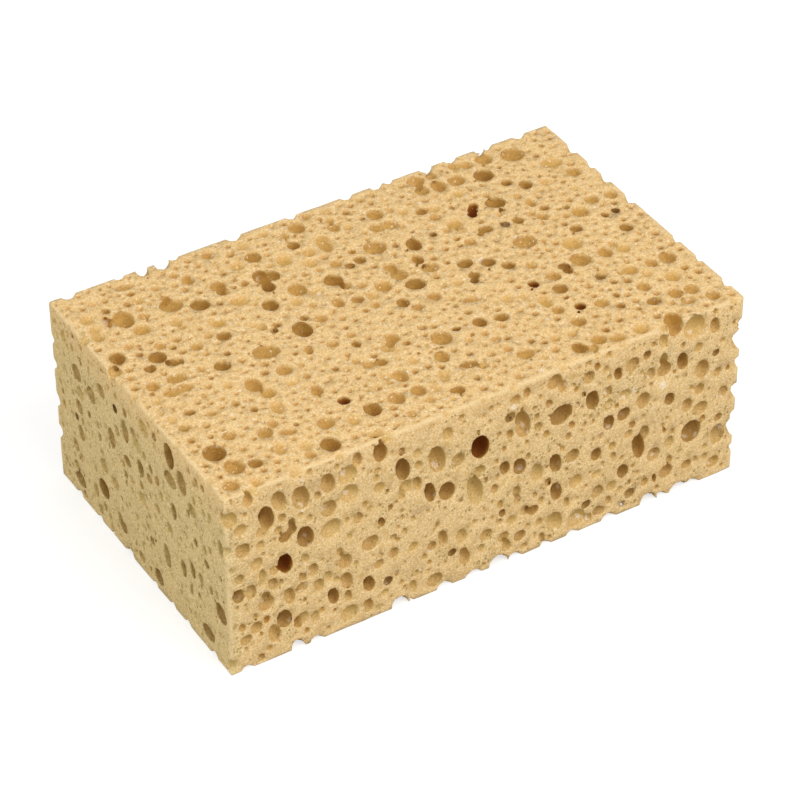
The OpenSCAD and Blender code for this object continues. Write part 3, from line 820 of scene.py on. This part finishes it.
@dataclass
class SpongeBlock:
    """The foam block with its pores.

    Args:
        low: Lowest corner of the block.
        high: Highest corner of the block.
    """

    low: Vector
    high: Vector
    finish: FoamFinish = field(default_factory=FoamFinish)
    voxel: float = 0.40 * MM
    quick_voxel: float = 0.60 * MM
    adaptivity: float = 0.25
    merge: float = 0.001 * MM
    wall_depth: float = 0.25 * MM
    stretch: float = 1.4
    lean: float = math.radians(16)
    sway: float = math.radians(9)
    margin: float = 0.25 * MM
    wander: float = 0.7 * MM
    wander_size: float = 4.0 * MM
    ripple: float = 0.35 * MM
    ripple_size: float = 4.5 * MM
    wall_reach: float = 0.60 * MM
    # Middling painted shade inside the solid's own pores.
    plain_gloom: float = 0.22
    least_island: int = 4000
    most_triangles: int = 196_000
    scatters: tuple[ChanceBubbles, ...] = (
        ChanceBubbles(8.5 * MM, 1.9 * MM, 3.3 * MM, 1.10, True, 11),
        ChanceBubbles(4.8 * MM, 1.3 * MM, 2.1 * MM, 1.15, True, 23),
        ChanceBubbles(4.0 * MM, 0.95 * MM, 1.60 * MM, 1.25, False, 37, 0.45),
        ChanceBubbles(2.8 * MM, 0.60 * MM, 0.90 * MM, 1.25, False, 53, 0.35),
    )

    def seen_points(self) -> bpy.types.Object:
        """Points of the bubbles behind the pores that the photograph shows, with their half sizes."""
        bubbles = [
            bubble
            for side, bowls in SEEN_PORES.items()
            for bowl, readings in bowls.items()
            for reading in readings
            for bubble in SeenPore(side, reading, bowl).bubbles(self.low, self.high)
        ]
        mesh = bpy.data.meshes.new("seen_pores")
        middles, reaches, plugs, glooms = (np.array(part, np.float32) for part in zip(*bubbles))
        mesh.from_pydata(middles.tolist(), [], [])
        for name, sizes in ((REACH, reaches), (PLUG, plugs)):
            attribute = mesh.attributes.new(name, "FLOAT_VECTOR", "POINT")
            attribute.data.foreach_set("vector", sizes.ravel())
        mesh.attributes.new(GLOOM, "FLOAT", "POINT").data.foreach_set("value", glooms)
        points = bpy.data.objects.new("seen_pores", mesh)
        bpy.context.scene.collection.objects.link(points)
        return points

    def foam_tree(self) -> bpy.types.NodeTree:
        """Tree that cuts the bubbles out of the block.

        Returns:
            The tree. It takes the points of the seen pores and gives the block's skin.
        """
        sheet, given, leave = make_tree(
            "foam_with_pores",
            "GeometryNodeTree",
            {
                "Solid": GEOMETRY, "Seen Pores": OBJECT, "Block Size": VECTOR, "Block Middle": VECTOR,
                "Wall Depth": FLOAT, "Voxel": FLOAT,
                "Adaptivity": FLOAT, "Stretch": FLOAT, "Wander": FLOAT, "Wander Size": FLOAT,
                "Ripple": FLOAT, "Ripple Size": FLOAT, "Least Island": WHOLE, "Material": MATERIAL,
            },
            {"Foam": GEOMETRY},
        )
        cube = sheet.get("GeometryNodeMeshCube", "Mesh", Size=given["Block Size"])
        block = sheet.get("GeometryNodeTransform", "Geometry", Geometry=cube, Translation=given["Block Middle"])
        solid = sheet.get("GeometryNodeMergeByDistance", "Geometry", Geometry=given["Solid"], Distance=self.merge)
        walls = self.pore_walls(sheet, solid, given)
        seen = sheet.get("GeometryNodeObjectInfo", "Geometry", Object=given["Seen Pores"])
        seen_points = sheet.get("GeometryNodeMeshToPoints", "Points", Mesh=seen)
        placed = seen_points
        scatter = scatter_tree()
        for chance in self.scatters:
            placed = sheet.get(
                "GeometryNodeGroup", "Placed", {"node_tree": scatter},
                Placed=placed, Block=block, Block_Size=given["Block Size"], Block_Middle=given["Block Middle"],
                Walls=walls, Spacing=chance.spacing, Smallest=chance.smallest,
                Largest=chance.largest, Least_Sink=chance.least_sink, Most_Sink=chance.most_sink,
                Stretch=given["Stretch"], Lean=(0.0, -self.lean, 0.0),
                Clearance=chance.clearance, Margin=self.margin, Unseen_Sides_Only=chance.unseen_only,
                Upright_Share=chance.upright_share, Seed=chance.seed,
            )
        ball = sheet.get("GeometryNodeMeshIcoSphere", "Mesh", Radius=1.0, Subdivisions=3)
        reach = sheet.get("GeometryNodeInputNamedAttribute", "Attribute", {"data_type": "FLOAT_VECTOR"}, Name=REACH)
        lean = sheet.get(
            "FunctionNodeRandomValue", "Value", {"data_type": "FLOAT_VECTOR"},
            Min=(-self.sway, -self.lean - self.sway, -self.sway),
            Max=(self.sway, self.sway - self.lean, self.sway),
            Seed=5,
        )
        balls = sheet.get(
            "GeometryNodeInstanceOnPoints", "Instances", Points=placed, Instance=ball, Rotation=lean, Scale=reach
        )
        bubbles = sheet.get("GeometryNodeRealizeInstances", "Geometry", Geometry=balls)
        bubbles = self.stirred(sheet, bubbles, given["Wander"], given["Wander Size"])
        plug = sheet.get("GeometryNodeInputNamedAttribute", "Attribute", {"data_type": "FLOAT_VECTOR"}, Name=PLUG)
        real_plug = sheet.math("GREATER_THAN", sheet.length("LENGTH", plug), 0.0)
        plugs = sheet.get(
            "GeometryNodeInstanceOnPoints", "Instances",
            Points=seen_points, Instance=ball, Scale=plug, Selection=real_plug,
        )
        plugs = sheet.get("GeometryNodeRealizeInstances", "Geometry", Geometry=plugs)
        grids = [
            sheet.get("GeometryNodeMeshToSDFGrid", "SDF Grid", Mesh=mesh, Voxel_Size=given["Voxel"])
            for mesh in (solid, block, plugs, bubbles)
        ]
        plug_grid = self.joined_grids(sheet, "INTERSECT", grids[1], grids[2])
        filled = self.joined_grids(sheet, "UNION", grids[0], plug_grid)
        cut = self.joined_grids(sheet, "DIFFERENCE", filled, grids[3])
        skin = sheet.get(
            "GeometryNodeGridToMesh", "Mesh", Grid=cut, Threshold=0.0, Adaptivity=given["Adaptivity"]
        )
        skin = self.without_islands(sheet, skin, given["Least Island"])
        # Painted shade of each pore, kept on the skin.
        skin = self.darkened(sheet, skin, bubbles)
        skin = self.stirred(sheet, skin, given["Ripple"], given["Ripple Size"])
        smooth = sheet.get("GeometryNodeSetShadeSmooth", "Geometry", Geometry=skin)
        whole = sheet.get("GeometryNodeRealizeInstances", "Geometry", Geometry=smooth)
        dressed = sheet.get("GeometryNodeSetMaterial", "Geometry", Geometry=whole, Material=given["Material"])
        sheet.join(dressed, leave.inputs["Foam"])
        return sheet.tree

    @staticmethod
    def joined_grids(sheet: NodeSheet, operation: str, first: Socket, second: Socket) -> Socket:
        """Grid that comes of two grids.

        Args:
            sheet: Sheet to lay the node on.
            operation: Blender's name for what is done with them.
            first: The first grid, and the one that is cut by a difference.
            second: The second grid.

        Returns:
            The resulting grid.
        """
        node = sheet.add("GeometryNodeSDFGridBoolean", {"operation": operation})
        live = [socket for socket in node.inputs if socket.enabled]
        if operation == "DIFFERENCE":
            sheet.join(first, live[0])
            sheet.join(second, live[1])
        else:
            sheet.join(first, live[-1])
            sheet.join(second, live[-1])
        return node.outputs[0]

    @staticmethod
    def pore_walls(sheet: NodeSheet, solid: Socket, given: dict[str, Socket]) -> Socket:
        """Picks the walls of the solid's own pores, which is what lies deeper than its faces.

        Args:
            sheet: Sheet to lay the nodes on.
            solid: The solid's skin.
            given: The tree's inputs by name.

        Returns:
            The walls alone.
        """
        place = sheet.get("GeometryNodeInputPosition", "Position")
        off_middle = sheet.vector("ABSOLUTE", sheet.vector("SUBTRACT", place, given["Block Middle"]))
        half = sheet.scaled(given["Block Size"], 0.5)
        parts = sheet.add("ShaderNodeSeparateXYZ", Vector=sheet.vector("SUBTRACT", half, off_middle))
        sideways = sheet.math("MINIMUM", parts.outputs["X"], parts.outputs["Y"])
        depth = sheet.math("MINIMUM", sideways, parts.outputs["Z"])
        return sheet.get(
            "GeometryNodeDeleteGeometry", "Geometry", {"domain": "POINT"},
            Geometry=solid, Selection=sheet.math("LESS_THAN", depth, given["Wall Depth"]),
        )

    def darkened(self, sheet: NodeSheet, skin: Socket, bubbles: Socket) -> Socket:
        """Writes on the skin how much painted shade each pore gets inside.

        Args:
            sheet: Sheet to lay the nodes on.
            skin: The foam's skin.
            bubbles: The bubbles that were cut out of it, with their own share of painted shade.

        Returns:
            The skin, which gives the solid's own pores a middling painted shade.
        """
        own = sheet.get("GeometryNodeInputNamedAttribute", "Attribute", {"data_type": "FLOAT"}, Name=GLOOM)
        nearest = sheet.get(
            "GeometryNodeSampleNearestSurface", "Value", {"data_type": "FLOAT"}, Mesh=bubbles, Value=own
        )
        far = sheet.get("GeometryNodeProximity", "Distance", {"target_element": "FACES"}, Geometry=bubbles)
        at_bubble = sheet.math("LESS_THAN", far, self.wall_reach)
        gloom = sheet.get(
            "ShaderNodeMix", "Result", {"data_type": "FLOAT"}, Factor=at_bubble, A=self.plain_gloom, B=nearest
        )
        return sheet.get(
            "GeometryNodeStoreNamedAttribute", "Geometry", {"data_type": "FLOAT", "domain": "POINT"},
            Geometry=skin, Name=GLOOM, Value=gloom,
        )

    @staticmethod
    def stirred(sheet: NodeSheet, mesh: Socket, amount: Socket, size: Socket) -> Socket:
        """Moves a mesh about by smooth noise.

        Args:
            sheet: Sheet to lay the nodes on.
            mesh: Mesh to move.
            amount: How far it moves at most, from one side to the other.
            size: Size of the noise's lumps.

        Returns:
            The moved mesh.
        """
        place = sheet.get("GeometryNodeInputPosition", "Position")
        noise = sheet.get(
            "ShaderNodeTexNoise", "Color",
            Vector=place, Scale=sheet.math("DIVIDE", 1.0, size), Detail=1.0, Roughness=0.5,
        )
        offset = sheet.scaled(sheet.vector("SUBTRACT", noise, (0.5, 0.5, 0.5)), amount)
        return sheet.get("GeometryNodeSetPosition", "Geometry", Geometry=mesh, Offset=offset)

    @staticmethod
    def without_islands(sheet: NodeSheet, mesh: Socket, least: Socket) -> Socket:
        """Takes away crumbs and closed hollows, which are islands with few points.

        Args:
            sheet: Sheet to lay the nodes on.
            mesh: Mesh to clean.
            least: Fewest points of an island that stays.

        Returns:
            The clean mesh.
        """
        island = sheet.get("GeometryNodeInputMeshIsland", "Island Index")
        points = sheet.get(
            "GeometryNodeAccumulateField", "Total", {"data_type": "FLOAT", "domain": "POINT"},
            Value=1.0, Group_ID=island,
        )
        return sheet.get(
            "GeometryNodeDeleteGeometry", "Geometry", {"domain": "POINT"},
            Geometry=mesh, Selection=sheet.math("LESS_THAN", points, least),
        )

    def set_inputs(self, modifier: bpy.types.NodesModifier, values: dict[str, object]) -> None:
        """Sets the modifier's inputs by the identifiers of their sockets.

        Args:
            modifier: The Geometry Nodes modifier.
            values: Value of each input, by the input's name.
        """
        for item in modifier.node_group.interface.items_tree:
            if item.item_type == "SOCKET" and item.in_out == "INPUT" and item.name in values:
                modifier[item.identifier] = values[item.name]

    def build(self) -> bpy.types.Object:
        """Makes the block as one plain mesh.

        Returns:
            The finished piece.
        """
        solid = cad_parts[NODE].data.copy()
        solid.materials.clear()
        block = bpy.data.objects.new("foam_block", solid)
        bpy.context.scene.collection.objects.link(block)
        seen = self.seen_points()
        modifier = block.modifiers.new("foam", "NODES")
        modifier.node_group = self.foam_tree()
        self.set_inputs(
            modifier,
            {
                "Seen Pores": seen,
                "Wall Depth": self.wall_depth,
                "Block Size": self.high - self.low,
                "Block Middle": (self.high + self.low) / 2,
                "Voxel": self.voxel,
                "Adaptivity": self.adaptivity,
                "Stretch": self.stretch,
                "Wander": self.wander,
                "Wander Size": self.wander_size,
                "Ripple": self.ripple,
                "Ripple Size": self.ripple_size,
                "Least Island": self.least_island,
                "Material": self.finish.build(self.low, self.high),
            },
        )
        self.settle(block)
        bpy.data.objects.remove(seen)
        self.thin(block)
        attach(block, BODY)
        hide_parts(NODE)
        return block

    @staticmethod
    def settle(block: bpy.types.Object) -> None:
        """Turns the result of the block's modifiers into its plain mesh."""
        evaluated = block.evaluated_get(bpy.context.evaluated_depsgraph_get())
        block.data = bpy.data.meshes.new_from_object(evaluated)
        block.modifiers.clear()

    def thin(self, block: bpy.types.Object) -> None:
        """Brings the mesh under its number of triangles, fewest where the skin is flat."""
        count = triangles(block.data)
        LOG.info("skin before thinning: %d triangles", count)
        if count <= self.most_triangles:
            return
        thinning = block.modifiers.new("thin", "DECIMATE")
        thinning.ratio = self.most_triangles / count
        self.settle(block)


@dataclass(frozen=True)
class Lamp:
    """One soft lamp of the studio.

    Args:
        name: Its name.
        place: Where it hangs, in metres.
        size: Side of its square, in metres.
        power: Its power in watts.
        colour: Its colour.
    """

    name: str
    place: tuple[float, float, float]
    size: float
    power: float
    colour: tuple[float, float, float] = (1.0, 1.0, 1.0)

    def build(self, target: Vector) -> None:
        """Hangs the lamp, turned to the target."""
        light = bpy.data.lights.new(self.name, "AREA")
        light.color = self.colour
        light.size = self.size
        light.energy = self.power
        lamp = bpy.data.objects.new(self.name, light)
        lamp.location = self.place
        lamp.rotation_euler = (target - lamp.location).to_track_quat("-Z", "Y").to_euler()
        bpy.context.scene.collection.objects.link(lamp)


@dataclass
class Studio:
    """Pale floor, soft light and the camera at the photograph's angle.

    Args:
        low: Lowest corner of the object.
        high: Highest corner of the object.
    """

    low: Vector
    high: Vector
    azimuth: float = -31.69
    elevation: float = 39.00
    distance: float = 1106.16 * MM
    aim_from_corner: tuple[float, float, float] = (97.09 * MM, 53.23 * MM, 37.5 * MM)
    photo_width: int = 800
    focal_pixels: float = 3248.0
    sensor: float = 36.0
    floor_size: float = 8.0
    floor_colour: float = 0.55
    floor_glow: float = 0.62
    sky: float = 0.62
    lamps: tuple[Lamp, ...] = (
        Lamp("key", (0.35, -1.15, 1.35), 1.1, 14.0),
        Lamp("side", (-1.50, -0.35, 0.75), 1.0, 6.1, (0.90, 1.00, 0.90)),
    )

    def aim(self) -> Vector:
        """Point of the object that lies at the middle of the photograph."""
        return self.low + Vector(self.aim_from_corner)

    def camera(self) -> None:
        """Sets the camera where the photograph was taken from."""
        turn, rise = math.radians(self.azimuth), math.radians(self.elevation)
        back = Vector((math.sin(turn) * math.cos(rise), -math.cos(turn) * math.cos(rise), math.sin(rise)))
        lens = bpy.data.cameras.new("camera")
        lens.sensor_width = self.sensor
        lens.lens = self.focal_pixels / self.photo_width * self.sensor
        lens.clip_end = 50
        camera = bpy.data.objects.new("camera", lens)
        camera.location = self.aim() + back * self.distance
        camera.rotation_euler = (-back).to_track_quat("-Z", "Y").to_euler()
        bpy.context.scene.collection.objects.link(camera)
        bpy.context.scene.camera = camera

    @staticmethod
    def shown(sheet: NodeSheet) -> Socket:
        """Share that is 1 where the camera, a gloss or a clear piece looks at the surface."""
        path = sheet.add("ShaderNodeLightPath")
        looks = sheet.math("MAXIMUM", path.outputs["Is Camera Ray"], path.outputs["Is Glossy Ray"])
        return sheet.math("MAXIMUM", looks, path.outputs["Is Transmission Ray"])

    def floor(self) -> None:
        """Lays the floor: it bounces light as a pale grey, and the camera sees it as near white."""
        half = self.floor_size / 2
        mesh = bpy.data.meshes.new("floor")
        corners = [(-half, -half, 0), (half, -half, 0), (half, half, 0), (-half, half, 0)]
        mesh.from_pydata(corners, [], [(0, 1, 2, 3)])
        material = bpy.data.materials.new("floor_paper")
        material.use_nodes = True
        material.node_tree.nodes.clear()
        sheet = NodeSheet(material.node_tree)
        grey = (self.floor_colour, self.floor_colour, self.floor_colour, 1.0)
        paper = sheet.get("ShaderNodeBsdfDiffuse", "BSDF", Color=grey)
        glow = sheet.get(
            "ShaderNodeEmission", "Emission", Strength=sheet.math("MULTIPLY", self.shown(sheet), self.floor_glow)
        )
        both = sheet.add("ShaderNodeAddShader")
        sheet.join(paper, both.inputs[0])
        sheet.join(glow, both.inputs[1])
        sheet.add("ShaderNodeOutputMaterial", Surface=both.outputs[0])
        mesh.materials.append(material)
        floor = bpy.data.objects.new("floor", mesh)
        bpy.context.scene.collection.objects.link(floor)

    def world(self) -> None:
        """Fills the room with even light, and shows it white."""
        world = bpy.data.worlds.new("room")
        world.use_nodes = True
        world.node_tree.nodes.clear()
        sheet = NodeSheet(world.node_tree)
        strength = sheet.get(
            "ShaderNodeMix", "Result", {"data_type": "FLOAT"}, Factor=self.shown(sheet), A=self.sky, B=1.0
        )
        glow = sheet.get("ShaderNodeBackground", "Background", Color=(1.0, 1.0, 1.0, 1.0), Strength=strength)
        sheet.add("ShaderNodeOutputWorld", Surface=glow)
        bpy.context.scene.world = world

    def build(self) -> None:
        """Sets up the whole studio."""
        self.camera()
        self.floor()
        self.world()
        for lamp in self.lamps:
            lamp.build(self.aim())
        bpy.context.scene.view_settings.view_transform = "Standard"


def main() -> None:
    """Builds the studio and the sponge."""
    logging.basicConfig(level=logging.INFO, format="%(message)s")
    low, high = (Vector(corner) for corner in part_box(NODE))
    Studio(low, high).build()
    block = SpongeBlock(low, high).build()
    LOG.info("%s: %d triangles", block.name, triangles(block.data))


if __name__ == "__main__":
    main()
